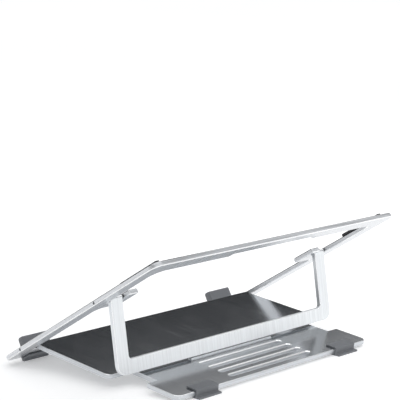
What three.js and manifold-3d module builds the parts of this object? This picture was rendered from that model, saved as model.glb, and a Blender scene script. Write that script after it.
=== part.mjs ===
// Folding laptop stand cut from aluminium sheet. A tray ring, a base plate and a U-shaped prop nest in one
// sheet thickness when folded. Here the stand is open: the tray leans back over the base plate and the prop
// stands between them with its tab in the first of five height slots.
//
// Frame: millimetres, +Z up, +X to the user's right, +Y away from the user. The desk is z = 0.
// Each of the three sheet pieces is drawn flat in a local frame: X across the stand, Y along the sheet away
// from its hinge, Z the sheet's normal, with the hinge axis through the origin at mid-thickness.

import * as THREE from 'three';
import { mergeVertices } from 'three/addons/utils/BufferGeometryUtils.js';
import Module from 'manifold-3d';

const wasm = await Module();
wasm.setup();

// Sheet and fits
const SHEET = 4.8;
const HALF_SHEET = SHEET / 2;
const FIT_GAP = 0.3;
const PIN_R = 1.2;
const PIN_HOLE_R = 1.5;
const TRAY_CHAMFER = 0.8;
const EDGE_CHAMFER = 0.4;

// Pose of the open stand
const HINGE_HEIGHT = 21.7;
const BASE_SLOPE = THREE.MathUtils.degToRad(5.21);
const TRAY_SLOPE = THREE.MathUtils.degToRad(30.96);
const PROP_LEAN = THREE.MathUtils.degToRad(8.67);

// Tray ring, measured from the base hinge axis
const TRAY_HALF_W = 174;
const TRAY_FRONT = -31;
const TRAY_REAR = 226;
const TRAY_FRONT_R = 8;
const TRAY_REAR_R = 10.5;
const WINDOW_HALF_W = 156.2;
const WINDOW_FRONT = -3.2;
const WINDOW_FRONT_R = 0.8;
const WINDOW_REAR = 205;
const WINDOW_REAR_R = 12;
const EAR_FRONT = 110.8;
const EAR_FILLET_R = 7.5;
const EAR_INNER = 126.6;
const EAR_CORNER_R = 3;
const LUG_OUTER = 138.6;
const LUG_REAR = 141.5;
const LUG_REAR_R = 1.4;
const PROP_HINGE = 130;
const EAR_NOTCH_GAP = 0.9;
const EAR_NOTCH_FRONT = PROP_HINGE - HALF_SHEET - EAR_NOTCH_GAP;
const TAB_NOTCH_HALF_W = 60;
const TAB_NOTCH_REAR = 211;
const TAB_NOTCH_R = 1.5;

// Base plate
const BASE_REAR = 187.7;
const BASE_REAR_R = 7;
const BASE_WIDE_HALF_W = 154.2;
const BASE_WIDE_REAR = 109.6;
const BASE_WIDE_R = 6;
const BASE_NECK_HALF_W = 125.6;
const BASE_NECK_R = 1.5;
const WING_HALF_W = 139.2;
const WING_FRONT = 146;
const WING_R = 1.5;
const SLOT_COUNT = 5;
const SLOT_FIRST = 123.8;
const SLOT_PITCH = 13.3;
const SLOT_HALF_L = 59.4;
const SLOT_HALF_W = 2.8;
const SLOT_CORNER_R = 2.7;
const SLOT_LEAD_IN = 1;

// Prop, measured from its hinge axis towards its foot
const PROP_HALF_W = 154.8;
const PROP_ARM_W = 14.8;
const PROP_BAR_H = 14.4;
const PROP_FOOT = 74.2;
const PROP_OUTER_R = 10;
const PROP_INNER_R = 4;
const TAB_HALF_W = 58.5;
const TAB_LENGTH = 5.2;
const TAB_ROOT = 1;
const TAB_TAPER_LENGTH = 2.8;
const TAB_HALF_ROOT = 2.1;
const TAB_HALF_TIP = 1.2;

// Clips, pads, pins and washers
const FRONT_CLIP_WIDTH = 32;
const FRONT_CLIP_X = 135;
const FRONT_CLIP_DEPTH = 15;
const REAR_CLIP_WIDTH = 29.5;
const REAR_CLIP_X = 101.5;
const REAR_CLIP_DEPTH = 11.6;
const HOOK_HEIGHT = 14.4;
const HOOK_FRONT = 3.3;
const HOOK_REAR = 11.6;
const CLIP_WALL = 1.5;
const CLIP_NOSE = 2;
const CLIP_ROOT = 2;
const TOE_DEPTH = 2.8;
const TOE_TAPER = 1.2;
const HOOK_ROUND_FRONT = 2.8;
const HOOK_ROUND_DOWN = 2.5;
const HOOK_ROUND_REAR = 1.5;
const HOOK_BATTER = 0.8;
const FOOT_REACH = 4.8;
const FOOT_FILLET = 0.8;
const FOOT_ROUND = 0.7;
const WALL_ROUND = 1;
const PAD_INNER = 158;
const PAD_OUTER = 163;
const PAD_FRONT = 161;
const PAD_REAR = 217;
const PAD_HEIGHT = 3;
const PIN_END_X = 173.2;
const BASE_PIN_INNER_X = 142;
const PROP_PIN_INNER_X = 130;
const WASHER_R = 2.3;
const ROUND_SEGMENTS = 28;

const aluminium = { color: 0xc6c9ce, roughness: 0.32, metalness: 1.0 };
const greyRubber = { color: 0x5f6267, roughness: 0.7, metalness: 0.0 };
const padRubber = { color: 0x2a2b2d, roughness: 0.8, metalness: 0.0 };
const steel = { color: 0x7d8084, roughness: 0.35, metalness: 1.0 };
const nylon = { color: 0x1f2022, roughness: 0.6, metalness: 0.0 };

// Draws a closed path through square corners [x, y, radius], rounding each one with a quarter-circle curve.
function roundedPath(path, corners) {
  const quarterArc = 0.5523;
  const count = corners.length;
  for (let i = 0; i < count; i += 1) {
    const corner = new THREE.Vector2(corners[i][0], corners[i][1]);
    const before = new THREE.Vector2(...corners[(i + count - 1) % count].slice(0, 2)).sub(corner).normalize();
    const after = new THREE.Vector2(...corners[(i + 1) % count].slice(0, 2)).sub(corner).normalize();
    const radius = corners[i][2] ?? 0;
    const start = corner.clone().addScaledVector(before, radius);
    if (i === 0) path.moveTo(start.x, start.y);
    else path.lineTo(start.x, start.y);
    if (radius > 0) {
      const end = corner.clone().addScaledVector(after, radius);
      const pullIn = corner.clone().addScaledVector(before, radius * (1 - quarterArc));
      const pullOut = corner.clone().addScaledVector(after, radius * (1 - quarterArc));
      path.bezierCurveTo(pullIn.x, pullIn.y, pullOut.x, pullOut.y, end.x, end.y);
    }
  }
  path.closePath();
  return path;
}

// Completes a half outline (x > 0, listed from front to rear) with its mirror image across x = 0.
function mirrored(half) {
  const other = half.map(([x, y, radius]) => [-x, y, radius]).reverse();
  return [...half, ...other];
}

// Extrudes a flat outline to a plate centred on z = 0, with its long edges chamfered.
function plate(shape, thickness, chamfer, curveSegments) {
  const geometry = new THREE.ExtrudeGeometry(shape, {
    depth: thickness - 2 * chamfer,
    bevelEnabled: chamfer > 0,
    bevelSegments: 1,
    bevelSize: chamfer,
    bevelThickness: chamfer,
    bevelOffset: -chamfer,
    curveSegments,
  });
  return geometry.translate(0, 0, chamfer - thickness / 2);
}

// Extrudes a profile drawn in (Y, Z) along X, centred on centreX.
function alongX(shape, width, centreX) {
  const geometry = new THREE.ExtrudeGeometry(shape, { depth: width, bevelEnabled: false, curveSegments: 6 });
  const toRow = new THREE.Matrix4().set(0, 0, 1, centreX - width / 2, 1, 0, 0, 0, 0, 1, 0, 0, 0, 0, 0, 1);
  return geometry.applyMatrix4(toRow);
}

// A cylinder along X from x0 to x1, at (y, z) in the local frame.
function rodAlongX(radius, x0, x1, y = 0, z = 0, segments = ROUND_SEGMENTS) {
  const geometry = new THREE.CylinderGeometry(radius, radius, Math.abs(x1 - x0), segments);
  return geometry.rotateZ(Math.PI / 2).translate((x0 + x1) / 2, y, z);
}

function block(x0, x1, y0, y1, z0, z1) {
  const geometry = new THREE.BoxGeometry(Math.abs(x1 - x0), y1 - y0, z1 - z0);
  return geometry.translate((x0 + x1) / 2, (y0 + y1) / 2, (z0 + z1) / 2);
}

function toManifold(geometry) {
  const bare = geometry.clone();
  bare.deleteAttribute('normal');
  bare.deleteAttribute('uv');
  const merged = mergeVertices(bare, 1e-4);
  const mesh = new wasm.Mesh({
    numProp: 3,
    vertProperties: Float32Array.from(merged.attributes.position.array),
    triVerts: Uint32Array.from(merged.index.array),
  });
  return new wasm.Manifold(mesh);
}

function fromManifold(solid) {
  const mesh = solid.getMesh();
  const geometry = new THREE.BufferGeometry();
  geometry.setAttribute('position', new THREE.BufferAttribute(Float32Array.from(mesh.vertProperties), 3));
  geometry.setIndex(new THREE.BufferAttribute(Uint32Array.from(mesh.triVerts), 1));
  const faceted = geometry.toNonIndexed();
  faceted.computeVertexNormals();
  return faceted;
}

const union = (parts) => parts.map(toManifold).reduce((sum, part) => sum.add(part));
const cut = (solid, parts) => parts.map(toManifold).reduce((rest, part) => rest.subtract(part), solid);

// Local z of the desk plane at local y, for a sheet that rises by slope from the base hinge.
const deskZ = (y, slope) => -(HINGE_HEIGHT + y * Math.sin(slope)) / Math.cos(slope);

// Bodies: base plate at the hinge, tray on the same axis, prop hanging from the tray's ears.
const stand = new THREE.Group();
const hinge = new THREE.Group();
hinge.position.set(0, 0, HINGE_HEIGHT);
const base = new THREE.Group();
base.rotation.x = -BASE_SLOPE;
const tray = new THREE.Group();
tray.rotation.x = TRAY_SLOPE;
const prop = new THREE.Group();
prop.position.set(0, PROP_HINGE, 0);
prop.rotation.x = -(Math.PI / 2 - PROP_LEAN) - TRAY_SLOPE;
stand.add(hinge);
hinge.add(base, tray);
tray.add(prop);

function place(parent, name, geometry, look) {
  const mesh = new THREE.Mesh(geometry, new THREE.MeshStandardMaterial(look));
  mesh.name = name;
  parent.add(mesh);
}

// Tray ring: outer edge, then the window with an ear at each side. Each ear reaches in front of the prop's
// arm and back along its inner side, so that the arm turns between the rim and the ear's lug.
function trayFrame() {
  const outline = roundedPath(new THREE.Shape(), mirrored([
    [TRAY_HALF_W, TRAY_FRONT, TRAY_FRONT_R],
    [TRAY_HALF_W, TRAY_REAR, TRAY_REAR_R],
  ]));
  const window = roundedPath(new THREE.Path(), mirrored([
    [WINDOW_HALF_W, WINDOW_FRONT, WINDOW_FRONT_R],
    [WINDOW_HALF_W, EAR_FRONT, EAR_FILLET_R],
    [EAR_INNER, EAR_FRONT, EAR_CORNER_R],
    [EAR_INNER, LUG_REAR, LUG_REAR_R],
    [LUG_OUTER, LUG_REAR, LUG_REAR_R],
    [LUG_OUTER, EAR_NOTCH_FRONT, 0],
    [WINDOW_HALF_W, EAR_NOTCH_FRONT, 0],
    [WINDOW_HALF_W, WINDOW_REAR, WINDOW_REAR_R],
    [TAB_NOTCH_HALF_W, WINDOW_REAR, 0],
    [TAB_NOTCH_HALF_W, TAB_NOTCH_REAR, TAB_NOTCH_R],
  ]));
  outline.holes.push(window);
  const holes = [];
  for (const side of [-1, 1]) {
    holes.push(rodAlongX(PIN_HOLE_R, side * (WINDOW_HALF_W - 1), side * (TRAY_HALF_W + 1)));
    holes.push(rodAlongX(PIN_HOLE_R, side * (PROP_PIN_INNER_X - 1), side * (TRAY_HALF_W + 1), PROP_HINGE));
  }
  return fromManifold(cut(toManifold(plate(outline, SHEET, TRAY_CHAMFER, 6)), holes));
}

function slotOutline(path, index) {
  const centre = SLOT_FIRST + index * SLOT_PITCH;
  return roundedPath(path, mirrored([
    [SLOT_HALF_L, centre - SLOT_HALF_W, SLOT_CORNER_R],
    [SLOT_HALF_L, centre + SLOT_HALF_W, SLOT_CORNER_R],
  ]));
}

// The solid that chamfers a slot's upper edge: it is slot-sized below and widens up to the sheet's top face.
function slotLeadIn(index) {
  const geometry = new THREE.ExtrudeGeometry(slotOutline(new THREE.Shape(), index), {
    depth: SLOT_LEAD_IN,
    bevelEnabled: true,
    bevelSegments: 1,
    bevelSize: SLOT_LEAD_IN,
    bevelThickness: SLOT_LEAD_IN,
    curveSegments: 6,
  });
  return geometry.translate(0, 0, HALF_SHEET);
}

// Base plate: wide front part, a neck that clears the prop's arms, short wings at the rear, height slots.
function basePlate() {
  const outline = roundedPath(new THREE.Shape(), mirrored([
    [BASE_WIDE_HALF_W, 0, 0],
    [BASE_WIDE_HALF_W, BASE_WIDE_REAR, BASE_WIDE_R],
    [BASE_NECK_HALF_W, BASE_WIDE_REAR, BASE_NECK_R],
    [BASE_NECK_HALF_W, WING_FRONT, WING_R],
    [WING_HALF_W, WING_FRONT, WING_R],
    [WING_HALF_W, BASE_REAR, BASE_REAR_R],
  ]));
  const leadIns = [];
  for (let i = 0; i < SLOT_COUNT; i += 1) {
    outline.holes.push(slotOutline(new THREE.Path(), i));
    leadIns.push(slotLeadIn(i));
  }
  const body = union([
    plate(outline, SHEET, EDGE_CHAMFER, 6),
    rodAlongX(HALF_SHEET, -BASE_WIDE_HALF_W, BASE_WIDE_HALF_W),
  ]);
  const holes = [-1, 1].map((side) => (
    rodAlongX(PIN_HOLE_R, side * (BASE_PIN_INNER_X - 1), side * (BASE_WIDE_HALF_W + 1))
  ));
  return fromManifold(cut(body, [...holes, ...leadIns]));
}

// Prop: two arms with rounded hinge ends, joined by a bar whose wedge-shaped tab stands in a height slot.
function propFrame() {
  const inner = PROP_HALF_W - PROP_ARM_W;
  const barTop = PROP_FOOT - PROP_BAR_H;
  const outline = roundedPath(new THREE.Shape(), [
    [PROP_HALF_W, 0, 0],
    [PROP_HALF_W, PROP_FOOT, PROP_OUTER_R],
    [-PROP_HALF_W, PROP_FOOT, PROP_OUTER_R],
    [-PROP_HALF_W, 0, 0],
    [-inner, 0, 0],
    [-inner, barTop, PROP_INNER_R],
    [inner, barTop, PROP_INNER_R],
    [inner, 0, 0],
  ]);
  const tab = new THREE.Shape();
  tab.moveTo(PROP_FOOT - TAB_ROOT, -TAB_HALF_ROOT);
  tab.lineTo(PROP_FOOT, -TAB_HALF_ROOT);
  tab.lineTo(PROP_FOOT + TAB_TAPER_LENGTH, -TAB_HALF_TIP);
  tab.lineTo(PROP_FOOT + TAB_LENGTH, -TAB_HALF_TIP);
  tab.lineTo(PROP_FOOT + TAB_LENGTH, TAB_HALF_TIP);
  tab.lineTo(PROP_FOOT + TAB_TAPER_LENGTH, TAB_HALF_TIP);
  tab.lineTo(PROP_FOOT, TAB_HALF_ROOT);
  tab.lineTo(PROP_FOOT - TAB_ROOT, TAB_HALF_ROOT);
  tab.closePath();
  const ends = [-1, 1].map((side) => rodAlongX(HALF_SHEET, side * inner, side * PROP_HALF_W));
  const holes = [-1, 1].map((side) => rodAlongX(PIN_HOLE_R, side * (inner - 1), side * (PROP_HALF_W + 1)));
  const body = union([
    plate(outline, SHEET, EDGE_CHAMFER, 6),
    alongX(tab, 2 * TAB_HALF_W, 0),
    ...ends,
  ]);
  return fromManifold(cut(body, holes));
}

// Front clip: grips the tray's front edge, with a hook that stops the laptop and a toe that meets the desk.
function frontClip(centreX) {
  const top = HALF_SHEET + FIT_GAP;
  const front = TRAY_FRONT - FIT_GAP - CLIP_NOSE;
  const toeRear = front + TOE_DEPTH;
  const hookTop = HALF_SHEET + HOOK_HEIGHT;
  const hookFront = TRAY_FRONT + HOOK_FRONT;
  const hookRear = TRAY_FRONT + HOOK_REAR;
  const flangeRear = front + FRONT_CLIP_DEPTH;
  const shape = new THREE.Shape();
  shape.moveTo(front, deskZ(front, TRAY_SLOPE));
  shape.lineTo(toeRear, deskZ(toeRear, TRAY_SLOPE));
  shape.lineTo(toeRear + TOE_TAPER, -top - CLIP_ROOT);
  shape.lineTo(flangeRear, -top - CLIP_WALL);
  shape.lineTo(flangeRear, -top);
  shape.lineTo(TRAY_FRONT - FIT_GAP, -top);
  shape.lineTo(TRAY_FRONT - FIT_GAP, top);
  shape.lineTo(hookRear, top);
  shape.lineTo(hookRear, hookTop - HOOK_ROUND_REAR);
  shape.quadraticCurveTo(hookRear, hookTop, hookRear - HOOK_ROUND_REAR, hookTop);
  shape.lineTo(hookFront + HOOK_ROUND_FRONT, hookTop);
  shape.quadraticCurveTo(hookFront, hookTop, hookFront, hookTop - HOOK_ROUND_DOWN);
  shape.lineTo(hookFront - HOOK_BATTER, top + CLIP_ROOT);
  shape.lineTo(front + CLIP_WALL, top + CLIP_WALL);
  shape.quadraticCurveTo(front, top + CLIP_WALL, front, top);
  shape.closePath();
  return alongX(shape, FRONT_CLIP_WIDTH, centreX);
}

// Rear clip: grips the base plate's rear edge and stands on a thin foot that reaches out behind it.
function rearClip(centreX) {
  const top = HALF_SHEET + FIT_GAP;
  const front = BASE_REAR - REAR_CLIP_DEPTH;
  const wallIn = BASE_REAR + FIT_GAP;
  const wallOut = wallIn + CLIP_WALL;
  const footTop = -HALF_SHEET;
  const footRear = wallOut + FOOT_REACH;
  const shape = new THREE.Shape();
  shape.moveTo(front, -top - CLIP_ROOT);
  shape.lineTo(BASE_REAR, deskZ(BASE_REAR, -BASE_SLOPE));
  shape.lineTo(footRear, deskZ(footRear, -BASE_SLOPE));
  shape.lineTo(footRear, footTop - FOOT_ROUND);
  shape.quadraticCurveTo(footRear, footTop, footRear - FOOT_ROUND, footTop);
  shape.lineTo(wallOut + FOOT_FILLET, footTop);
  shape.quadraticCurveTo(wallOut, footTop, wallOut, footTop + FOOT_FILLET);
  shape.lineTo(wallOut, top + CLIP_WALL - WALL_ROUND);
  shape.quadraticCurveTo(wallOut, top + CLIP_WALL, wallOut - WALL_ROUND, top + CLIP_WALL);
  shape.lineTo(front, top + CLIP_WALL);
  shape.lineTo(front, top);
  shape.lineTo(wallIn, top);
  shape.lineTo(wallIn, -top);
  shape.lineTo(front, -top);
  shape.closePath();
  return alongX(shape, REAR_CLIP_WIDTH, centreX);
}

function washer(x0, x1, y = 0) {
  const middle = (x0 + x1) / 2;
  const reach = (x1 - x0) / 2 + 1;
  const disc = toManifold(rodAlongX(WASHER_R, x0, x1, y));
  return fromManifold(cut(disc, [rodAlongX(PIN_HOLE_R, middle - reach, middle + reach, y)]));
}

place(base, 'base_plate', basePlate(), aluminium);
place(tray, 'tray_frame', trayFrame(), aluminium);
place(prop, 'prop_frame', propFrame(), aluminium);

const propInner = PROP_HALF_W - PROP_ARM_W;
for (const [side, label] of [[-1, 'left'], [1, 'right']]) {
  place(tray, `front_clip_${label}`, frontClip(side * FRONT_CLIP_X), greyRubber);
  place(base, `rear_clip_${label}`, rearClip(side * REAR_CLIP_X), greyRubber);
  const pad = block(side * PAD_INNER, side * PAD_OUTER, PAD_FRONT, PAD_REAR,
    HALF_SHEET + FIT_GAP, HALF_SHEET + FIT_GAP + PAD_HEIGHT);
  place(tray, `rear_pad_${label}`, pad, padRubber);
  place(tray, `base_pin_${label}`, rodAlongX(PIN_R, side * BASE_PIN_INNER_X, side * PIN_END_X), steel);
  const propPin = rodAlongX(PIN_R, side * PROP_PIN_INNER_X, side * PIN_END_X, PROP_HINGE);
  place(tray, `prop_pin_${label}`, propPin, steel);
  const washers = [
    ['base_washer', BASE_WIDE_HALF_W, WINDOW_HALF_W, 0],
    ['prop_outer_washer', PROP_HALF_W, WINDOW_HALF_W, PROP_HINGE],
    ['prop_inner_washer', LUG_OUTER, propInner, PROP_HINGE],
  ];
  for (const [name, near, far, y] of washers) {
    const ends = [side * (near + FIT_GAP), side * (far - FIT_GAP)].sort((a, b) => a - b);
    place(tray, `${name}_${label}`, washer(ends[0], ends[1], y), nylon);
  }
}

// Put the origin on the desk under the middle of the stand's bounding box.
stand.updateMatrixWorld(true);
const bounds = new THREE.Box3().setFromObject(stand, true);
hinge.position.y = -(bounds.min.y + bounds.max.y) / 2;

export default stand;
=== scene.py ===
"""Looks of the folding laptop stand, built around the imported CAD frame.

Metres, in the frame's own axes: +Z up, +X to the user's right, +Y away from the user. Every sheet part is
brushed along its own depth, so each one's material is turned to the slope that its largest flat face has.
"""

import math
from typing import NamedTuple

import bpy
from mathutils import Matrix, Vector


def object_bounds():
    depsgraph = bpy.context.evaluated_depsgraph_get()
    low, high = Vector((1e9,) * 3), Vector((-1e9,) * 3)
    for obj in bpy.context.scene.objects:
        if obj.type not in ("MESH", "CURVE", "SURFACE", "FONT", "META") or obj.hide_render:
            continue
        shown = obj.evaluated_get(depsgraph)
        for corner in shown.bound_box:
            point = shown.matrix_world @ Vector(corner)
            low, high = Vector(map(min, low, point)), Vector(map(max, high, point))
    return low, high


MM = 0.001
SIDES = ("left", "right")


class FinishAndPaintedLight(NamedTuple):
    """A brushed sheet's finish. Its tint is set part by part to how brightly lit the part looks, so it
    carries painted light and shade.

    streak_tone is the darkest streak's share of the tint. band_share is how much of the pattern is broad
    bands, and the rest of it is fine streaks.
    """

    tint: tuple
    roughness: float
    streak_tone: float
    band_share: float


class Edge(NamedTuple):
    """The small radius that softens a part's sharp edges."""

    width: float
    segments: int


# Camera, aimed at a point offset from the object's centre
CAMERA_AZIMUTH = 134.68
CAMERA_ELEVATION = 10.07
CAMERA_DISTANCE = 1.52689
CAMERA_AIM_OFFSET = Vector((-0.00936, -0.01239, 0.08763))
CAMERA_LENS_MM = 133.75
CAMERA_SENSOR_MM = 36.0
CAMERA_CLIP_START = 0.05

# Room. Heights are the Z of the direction looked in, from 0 at the horizon to 1 overhead.
SWEEP_COLOUR = (1.0, 1.0, 1.0, 1.0)
WALL_COLOUR = (0.035, 0.037, 0.040, 1.0)
CEILING_COLOUR = (0.79, 0.80, 0.815, 1.0)
SWEEP_UP_TO = 0.08
WALL_FROM = 0.18
WALL_UP_TO = 0.50
CEILING_FROM = 0.74
ROOM_STRENGTH = 1.0

# Lights. Azimuth 0 is the front of the stand, and 180 its rear.
SUN_AZIMUTH = 165
SUN_ELEVATION = 64
SUN_DISTANCE = 2.0
SUN_SPREAD = 100
SUN_STRENGTH = 0.95

PANEL_RIGHT_AZIMUTH = 224
PANEL_RIGHT_ELEVATION = 6
PANEL_RIGHT_DISTANCE = 1.8
PANEL_RIGHT_WIDTH = 1.6
PANEL_RIGHT_HEIGHT = 0.6
PANEL_RIGHT_WATTS = 1.2

PANEL_LEFT_PLACE = Vector((-0.60, -0.03, 0.34))
PANEL_LEFT_WIDTH = 0.90
PANEL_LEFT_DEPTH = 0.76
PANEL_LEFT_WATTS = 0.9

# Floor
FLOOR_SIDE = 60.0
FLOOR_DARK = (0.90, 0.90, 0.90, 1.0)
FLOOR_LIGHT = (0.93, 0.93, 0.93, 1.0)
FLOOR_PATCH_SIZE = 1.5
FLOOR_PATCH_DETAIL = 2.0
FLOOR_ROUGHNESS = 0.9
FLOOR_GLOSS = 0.1
FLOOR_GLOW = 0.30
FLOOR_GLOW_COLOUR = (1.0, 1.0, 1.0, 1.0)

# Brushed sheet. Sizes run across the brushing, along it and through the sheet's thickness.
# The tints differ from part to part to copy the light on each part. The prop's lighter tint is painted light,
# and the base's darker tint is painted shade for the dark reflection it shows. The roughness and brushing
# differ as real finishes do.
SHEET_FINISHES_AND_PAINTED_LIGHT = {
    "tray_frame": FinishAndPaintedLight((0.70, 0.715, 0.735), roughness=0.28, streak_tone=0.82, band_share=0.5),
    "base_plate": FinishAndPaintedLight((0.65, 0.67, 0.695), roughness=0.17, streak_tone=0.80, band_share=0.1),
    "prop_frame": FinishAndPaintedLight((0.83, 0.855, 0.875), roughness=0.32, streak_tone=0.84, band_share=0.5),
}
STREAK_SIZE = (0.45 * MM, 40 * MM, 0.45 * MM)
STREAK_DETAIL = 4.0
STREAK_HARSHNESS = 0.7
BAND_SIZE = (2.2 * MM, 80 * MM, 2.2 * MM)
BAND_DETAIL = 2.0
HANDLING_SIZE = (45 * MM, 60 * MM, 45 * MM)
HANDLING_DETAIL = 4.0
BRUSH_BLEND = (0.36, 0.62)
BRUSH_ROUGHNESS = (-0.03, 0.05)
BRUSH_ROUGHNESS_BLEND = (0.35, 0.65)
HANDLING_ROUGHNESS = (-0.008, 0.012)
BRUSH_DEPTH = 0.005 * MM

# Milled edges and chamfers of a sheet
MILLING_SIZE = (60 * MM, 60 * MM, 0.9 * MM)
MILLING_DETAIL = 1.0
MILLING_BLEND = (0.35, 0.6)
EDGE_TONES = (0.90, 1.08)
EDGE_ROUGHNESS = (0.38, 0.52)
CHAMFER_DARK = (0.86, 0.87, 0.88, 1.0)
CHAMFER_LIGHT = (0.95, 0.955, 0.96, 1.0)
CHAMFER_ROUGHNESS = (0.12, 0.20)

# How squarely a surface faces along its sheet's normal, from 0 on a cut wall to 1 on a broad face
BROAD_FACE_OVER = 0.97
CHAMFER_OVER = 0.35

# Rubber and nylon
CLIP_DARK = (0.150, 0.157, 0.170, 1.0)
CLIP_LIGHT = (0.190, 0.198, 0.213, 1.0)
CLIP_ROUGHNESS = 0.50
PAD_DARK = (0.026, 0.026, 0.028, 1.0)
PAD_LIGHT = (0.040, 0.040, 0.043, 1.0)
PAD_ROUGHNESS = 0.62
WASHER_DARK = (0.018, 0.018, 0.020, 1.0)
WASHER_LIGHT = (0.030, 0.030, 0.033, 1.0)
WASHER_ROUGHNESS = 0.45
GRAIN_SIZE = 0.5 * MM
GRAIN_DETAIL = 3.0
GRAIN_HARSHNESS = 0.6
GRAIN_DEPTH = 0.03 * MM
GRAIN_SHARE = 0.5
PATCH_SIZE = 22 * MM
PATCH_DETAIL = 3.0
MOULDED_GLOSS = 0.5
MOULDED_BLEND = (0.35, 0.65)
MOULDED_ROUGHNESS_SPREAD = 0.07

# Pins. The ring size runs along the pin and then across it, twice.
STEEL_DARK = (0.20, 0.205, 0.21, 1.0)
STEEL_LIGHT = (0.40, 0.41, 0.42, 1.0)
STEEL_ROUGHNESS = (0.24, 0.40)
RING_SIZE = (0.12 * MM, 6 * MM, 6 * MM)
RING_DETAIL = 2.0
RING_DEPTH = 0.01 * MM

# Softened edges
SHEET_EDGE = Edge(0.2 * MM, 2)
CLIP_EDGE = Edge(0.35 * MM, 3)
PAD_EDGE = Edge(0.7 * MM, 3)
PIN_EDGE = Edge(0.2 * MM, 2)
WASHER_EDGE = Edge(0.1 * MM, 2)
WELD_WITHIN = 0.004 * MM
FLAT_WITHIN_DEG = 0.4
SHARP_OVER_DEG = 30


def set_inputs(node, **values):
    """Sets a node's input sockets by name, with underscores for spaces."""
    for name, value in values.items():
        node.inputs[name.replace("_", " ")].default_value = value
    return node


class Surface:
    """A node material with a Principled shader, and short helpers for its texture nodes."""

    def __init__(self, name, **shader_values):
        self.material = bpy.data.materials.new(name)
        self.material.use_nodes = True
        self.nodes = self.material.node_tree.nodes
        self.links = self.material.node_tree.links
        self.shader = self.nodes["Principled BSDF"]
        set_inputs(self.shader, **shader_values)
        self.coords = self.nodes.new("ShaderNodeTexCoord")

    def link(self, source, node, socket):
        self.links.new(source, node.inputs[socket])

    def mapped(self, slope, size):
        """Object coordinates turned back by the sheet's slope and divided by size along each axis."""
        node = self.nodes.new("ShaderNodeMapping")
        node.vector_type = "TEXTURE"
        node.inputs["Rotation"].default_value = (slope, 0, 0)
        node.inputs["Scale"].default_value = size
        self.link(self.coords.outputs["Object"], node, "Vector")
        return node.outputs["Vector"]

    def noise(self, slope, size, detail=3.0, roughness=0.55):
        node = set_inputs(self.nodes.new("ShaderNodeTexNoise"), Scale=1.0, Detail=detail, Roughness=roughness)
        self.link(self.mapped(slope, size), node, "Vector")
        return node.outputs["Fac"]

    def ramp(self, factor, low, high, start=0.3, end=0.7):
        """A smooth blend from one colour to another as the factor goes from start to end."""
        node = self.nodes.new("ShaderNodeValToRGB")
        first, last = node.color_ramp.elements
        first.position, first.color = start, low
        last.position, last.color = end, high
        self.link(factor, node, "Fac")
        return node.outputs["Color"]

    def spread(self, factor, low, high, start=0.3, end=0.7):
        """A value that goes from low to high as the factor goes from start to end."""
        node = set_inputs(self.nodes.new("ShaderNodeMapRange"),
                          From_Min=start, From_Max=end, To_Min=low, To_Max=high)
        self.link(factor, node, "Value")
        return node.outputs["Result"]

    def math(self, operation, a, b):
        node = self.nodes.new("ShaderNodeMath")
        node.operation = operation
        for value, socket in ((a, 0), (b, 1)):
            if isinstance(value, (int, float)):
                node.inputs[socket].default_value = value
            else:
                self.link(value, node, socket)
        return node.outputs["Value"]

    def blended(self, a, b, share_of_b):
        """Two factors added in shares that make one."""
        part_a = self.math("MULTIPLY", a, 1 - share_of_b)
        part_b = self.math("MULTIPLY", b, share_of_b)
        return self.math("ADD", part_a, part_b)

    def mix(self, factor, a, b, kind="FLOAT"):
        """a where the factor is 0 and b where it is 1."""
        node = self.nodes.new("ShaderNodeMix")
        node.data_type = kind
        ends = [s for s in node.inputs if s.enabled and s.name in ("A", "B")]
        self.links.new(factor, next(s for s in node.inputs if s.enabled and s.name == "Factor"))
        self.links.new(a, ends[0])
        self.links.new(b, ends[1])
        return next(s for s in node.outputs if s.enabled)

    def bump(self, height, distance):
        node = set_inputs(self.nodes.new("ShaderNodeBump"), Distance=distance, Strength=1.0)
        self.link(height, node, "Height")
        return node.outputs["Normal"]

    def facing(self, normal):
        """How squarely a surface faces along normal, either way."""
        node = self.nodes.new("ShaderNodeVectorMath")
        node.operation = "DOT_PRODUCT"
        node.inputs[1].default_value = normal
        self.link(self.coords.outputs["Normal"], node, 0)
        return self.math("ABSOLUTE", node.outputs["Value"], 0.0)


def broad_normal(node):
    """The unit normal shared by most of a node's area, or its opposite, whichever has a positive Y plus Z."""
    areas = {}
    for polygon in node.data.polygons:
        key = tuple(round(c, 3) for c in polygon.normal)
        areas[key] = areas.get(key, 0.0) + polygon.area
    normal = Vector(max(areas, key=areas.get)).normalized()
    return normal if normal.z + normal.y > 0 else -normal


def tinted(tint, tone):
    """A tint made darker or lighter by a tone, as a colour with full alpha."""
    return tuple(min(1.0, c * tone) for c in tint) + (1.0,)


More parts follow.
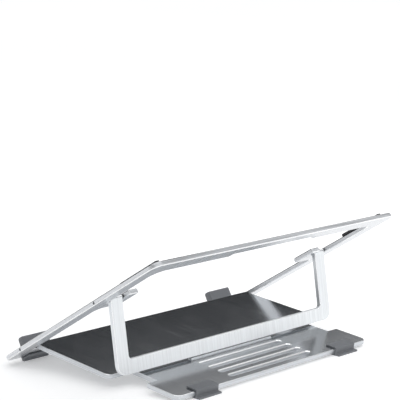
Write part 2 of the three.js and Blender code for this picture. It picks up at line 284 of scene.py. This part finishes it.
def brushed_aluminium(name, node, finish):
    """Satin aluminium brushed along the sheet, with bright-cut chamfers and finely milled edges."""
    normal = broad_normal(node)
    slope = math.atan2(-normal.y, normal.z)
    surface = Surface(name, Metallic=1.0)
    streaks = surface.noise(slope, STREAK_SIZE, STREAK_DETAIL, STREAK_HARSHNESS)
    bands = surface.noise(slope, BAND_SIZE, BAND_DETAIL)
    handling = surface.noise(slope, HANDLING_SIZE, HANDLING_DETAIL)
    milling = surface.noise(slope, MILLING_SIZE, MILLING_DETAIL)
    brushed = surface.blended(streaks, bands, finish.band_share)
    facing = surface.facing(normal)
    on_face = surface.math("GREATER_THAN", facing, BROAD_FACE_OVER)
    on_chamfer = surface.math("GREATER_THAN", facing, CHAMFER_OVER)

    face_dark, face_light = tinted(finish.tint, finish.streak_tone), tinted(finish.tint, 1.0)
    edge_dark, edge_light = (tinted(finish.tint, tone) for tone in EDGE_TONES)
    face_colour = surface.ramp(brushed, face_dark, face_light, *BRUSH_BLEND)
    edge_colour = surface.ramp(milling, edge_dark, edge_light, *MILLING_BLEND)
    chamfer_colour = surface.ramp(milling, CHAMFER_DARK, CHAMFER_LIGHT, *MILLING_BLEND)
    edge_colour = surface.mix(on_chamfer, edge_colour, chamfer_colour, "RGBA")
    surface.link(surface.mix(on_face, edge_colour, face_colour, "RGBA"), surface.shader, "Base Color")

    smoothest, roughest = (finish.roughness + change for change in BRUSH_ROUGHNESS)
    face_rough = surface.spread(brushed, smoothest, roughest, *BRUSH_ROUGHNESS_BLEND)
    face_rough = surface.math("ADD", face_rough, surface.spread(handling, *HANDLING_ROUGHNESS))
    edge_rough = surface.spread(milling, *EDGE_ROUGHNESS)
    edge_rough = surface.mix(on_chamfer, edge_rough, surface.spread(milling, *CHAMFER_ROUGHNESS))
    surface.link(surface.mix(on_face, edge_rough, face_rough), surface.shader, "Roughness")

    height = surface.mix(on_face, milling, brushed)
    surface.link(surface.bump(height, BRUSH_DEPTH), surface.shader, "Normal")
    return surface.material


def moulded(name, dark, light, roughness):
    """Moulded rubber or nylon with a fine grain and faint uneven patches."""
    surface = Surface(name, Specular_IOR_Level=MOULDED_GLOSS)
    grain = surface.noise(0, (GRAIN_SIZE,) * 3, GRAIN_DETAIL, GRAIN_HARSHNESS)
    patches = surface.noise(0, (PATCH_SIZE,) * 3, PATCH_DETAIL)
    tone = surface.blended(patches, grain, GRAIN_SHARE)
    surface.link(surface.ramp(tone, dark, light, *MOULDED_BLEND), surface.shader, "Base Color")
    rough = surface.spread(tone, roughness - MOULDED_ROUGHNESS_SPREAD, roughness + MOULDED_ROUGHNESS_SPREAD)
    surface.link(rough, surface.shader, "Roughness")
    surface.link(surface.bump(grain, GRAIN_DEPTH), surface.shader, "Normal")
    return surface.material


def turned_steel(name):
    """Ground steel with fine rings round the pin's axis, which runs along X."""
    surface = Surface(name, Metallic=1.0)
    rings = surface.noise(0, RING_SIZE, RING_DETAIL)
    surface.link(surface.ramp(rings, STEEL_DARK, STEEL_LIGHT), surface.shader, "Base Color")
    surface.link(surface.spread(rings, *STEEL_ROUGHNESS), surface.shader, "Roughness")
    surface.link(surface.bump(rings, RING_DEPTH), surface.shader, "Normal")
    return surface.material


def smooth_shading():
    """A modifier's node group that drops the stored normals and shades every face smooth."""
    made = bpy.data.node_groups.get("smooth_shading")
    if made:
        return made
    made = bpy.data.node_groups.new("smooth_shading", "GeometryNodeTree")
    for way in ("INPUT", "OUTPUT"):
        made.interface.new_socket("Geometry", in_out=way, socket_type="NodeSocketGeometry")
    start = made.nodes.new("NodeGroupInput")
    drop = set_inputs(made.nodes.new("GeometryNodeRemoveAttribute"), Name="custom_normal")
    smooth = made.nodes.new("GeometryNodeSetShadeSmooth")
    end = made.nodes.new("NodeGroupOutput")
    for source, node in ((start, drop), (drop, smooth), (smooth, end)):
        made.links.new(source.outputs[0], node.inputs[0])
    return made


def soften(node, edge):
    """Rounds a CAD node's sharp edges and smooths its curved faces, with modifiers only."""
    node.modifiers.new("smooth_shading", "NODES").node_group = smooth_shading()
    weld = node.modifiers.new("weld", "WELD")
    weld.merge_threshold = WELD_WITHIN
    flat = node.modifiers.new("merge_flat_faces", "DECIMATE")
    flat.decimate_type = "DISSOLVE"
    flat.angle_limit = math.radians(FLAT_WITHIN_DEG)
    bevel = node.modifiers.new("edge_radius", "BEVEL")
    bevel.limit_method = "ANGLE"
    bevel.angle_limit = math.radians(SHARP_OVER_DEG)
    bevel.width = edge.width
    bevel.segments = edge.segments
    bevel.use_clamp_overlap = True
    bevel.harden_normals = True
    normals = node.modifiers.new("even_shading", "WEIGHTED_NORMAL")
    normals.keep_sharp = True


def dress(node, material, edge):
    """Gives a CAD node its material and its softened edges."""
    for material_slot in node.material_slots:
        material_slot.material = material
    soften(node, edge)


def sheet_parts(nodes):
    for name, finish in SHEET_FINISHES_AND_PAINTED_LIGHT.items():
        material = brushed_aluminium(name + "_brushed", nodes[name], finish)
        dress(nodes[name], material, SHEET_EDGE)


def rubber_parts(nodes):
    clip = moulded("clip_rubber", CLIP_DARK, CLIP_LIGHT, CLIP_ROUGHNESS)
    pad = moulded("pad_rubber", PAD_DARK, PAD_LIGHT, PAD_ROUGHNESS)
    for side in SIDES:
        for end in ("front", "rear"):
            dress(nodes[f"{end}_clip_{side}"], clip, CLIP_EDGE)
        dress(nodes[f"rear_pad_{side}"], pad, PAD_EDGE)


def hinge_parts(nodes):
    steel = turned_steel("pin_steel")
    nylon = moulded("washer_nylon", WASHER_DARK, WASHER_LIGHT, WASHER_ROUGHNESS)
    for side in SIDES:
        for pin in ("base_pin", "prop_pin"):
            dress(nodes[f"{pin}_{side}"], steel, PIN_EDGE)
        for washer in ("base_washer", "prop_outer_washer", "prop_inner_washer"):
            dress(nodes[f"{washer}_{side}"], nylon, WASHER_EDGE)


def add_object(name, data):
    made = bpy.data.objects.new(name, data)
    bpy.context.scene.collection.objects.link(made)
    return made


def aim(thing, place, target):
    thing.location = place
    thing.rotation_mode = "QUATERNION"
    thing.rotation_quaternion = (target - place).to_track_quat("-Z", "Y")


def round_point(centre, azimuth, elevation, distance):
    """The point at that azimuth and elevation from centre. Azimuth 0 lies on -Y and 90 on +X."""
    a, e = math.radians(azimuth), math.radians(elevation)
    return centre + distance * Vector((math.sin(a) * math.cos(e), -math.cos(a) * math.cos(e), math.sin(e)))


def camera(centre):
    data = bpy.data.cameras.new("camera")
    data.sensor_width = CAMERA_SENSOR_MM
    data.lens = CAMERA_LENS_MM
    data.clip_start = CAMERA_CLIP_START
    data.clip_end = 2 * FLOOR_SIDE
    made = add_object("camera", data)
    target = centre + CAMERA_AIM_OFFSET
    aim(made, round_point(target, CAMERA_AZIMUTH, CAMERA_ELEVATION, CAMERA_DISTANCE), target)
    bpy.context.scene.camera = made


def area_light(name, width, height, watts):
    data = bpy.data.lights.new(name, "AREA")
    data.shape = "RECTANGLE"
    data.size = width
    data.size_y = height
    data.energy = watts
    return add_object(name, data)


def lights(centre):
    data = bpy.data.lights.new("soft_sun", "SUN")
    data.angle = math.radians(SUN_SPREAD)
    data.energy = SUN_STRENGTH
    aim(add_object("soft_sun", data), round_point(centre, SUN_AZIMUTH, SUN_ELEVATION, SUN_DISTANCE), centre)

    right = area_light("panel_right", PANEL_RIGHT_WIDTH, PANEL_RIGHT_HEIGHT, PANEL_RIGHT_WATTS)
    right_place = round_point(centre, PANEL_RIGHT_AZIMUTH, PANEL_RIGHT_ELEVATION, PANEL_RIGHT_DISTANCE)
    aim(right, right_place, centre)

    # A level panel that shines straight down, and that the camera doesn't see
    left = area_light("panel_left", PANEL_LEFT_WIDTH, PANEL_LEFT_DEPTH, PANEL_LEFT_WATTS)
    left.location = PANEL_LEFT_PLACE
    left.visible_camera = False


def room():
    """A plain photo studio: a white sweep at floor level, then dark walls, then a bright ceiling."""
    world = bpy.data.worlds.new("studio")
    world.use_nodes = True
    nodes, links = world.node_tree.nodes, world.node_tree.links
    coords = nodes.new("ShaderNodeTexCoord")
    axes = nodes.new("ShaderNodeSeparateXYZ")
    ramp = nodes.new("ShaderNodeValToRGB")
    links.new(coords.outputs["Generated"], axes.inputs["Vector"])
    links.new(axes.outputs["Z"], ramp.inputs["Fac"])
    links.new(ramp.outputs["Color"], nodes["Background"].inputs["Color"])
    sweep, ceiling = ramp.color_ramp.elements
    sweep.position, sweep.color = SWEEP_UP_TO, SWEEP_COLOUR
    ceiling.position, ceiling.color = CEILING_FROM, CEILING_COLOUR
    for height in (WALL_FROM, WALL_UP_TO):
        ramp.color_ramp.elements.new(height).color = WALL_COLOUR
    nodes["Background"].inputs["Strength"].default_value = ROOM_STRENGTH
    bpy.context.scene.world = world
    bpy.context.scene.view_settings.view_transform = "Standard"


def paper_floor():
    """A pale paper floor that glows softly, so that it stays pale all over."""
    half = FLOOR_SIDE / 2
    corners = [(-half, -half, 0), (half, -half, 0), (half, half, 0), (-half, half, 0)]
    mesh = bpy.data.meshes.new("floor")
    mesh.from_pydata(corners, [], [(0, 1, 2, 3)])
    floor = add_object("floor", mesh)
    surface = Surface("floor_paper", Roughness=FLOOR_ROUGHNESS, Specular_IOR_Level=FLOOR_GLOSS,
                      Emission_Strength=FLOOR_GLOW, Emission_Color=FLOOR_GLOW_COLOUR)
    tone = surface.noise(0, (FLOOR_PATCH_SIZE,) * 3, FLOOR_PATCH_DETAIL)
    surface.link(surface.ramp(tone, FLOOR_DARK, FLOOR_LIGHT), surface.shader, "Base Color")
    mesh.materials.append(surface.material)


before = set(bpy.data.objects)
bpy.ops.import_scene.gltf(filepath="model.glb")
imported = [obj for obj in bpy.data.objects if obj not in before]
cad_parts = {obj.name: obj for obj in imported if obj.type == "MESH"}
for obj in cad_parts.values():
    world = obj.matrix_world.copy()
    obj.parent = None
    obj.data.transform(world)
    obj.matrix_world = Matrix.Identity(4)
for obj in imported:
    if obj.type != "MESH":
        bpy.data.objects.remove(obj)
cad_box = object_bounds()
middle = (cad_box[0] + cad_box[1]) / 2

camera(middle)
room()
lights(middle)
paper_floor()
sheet_parts(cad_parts)
rubber_parts(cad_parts)
hinge_parts(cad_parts)
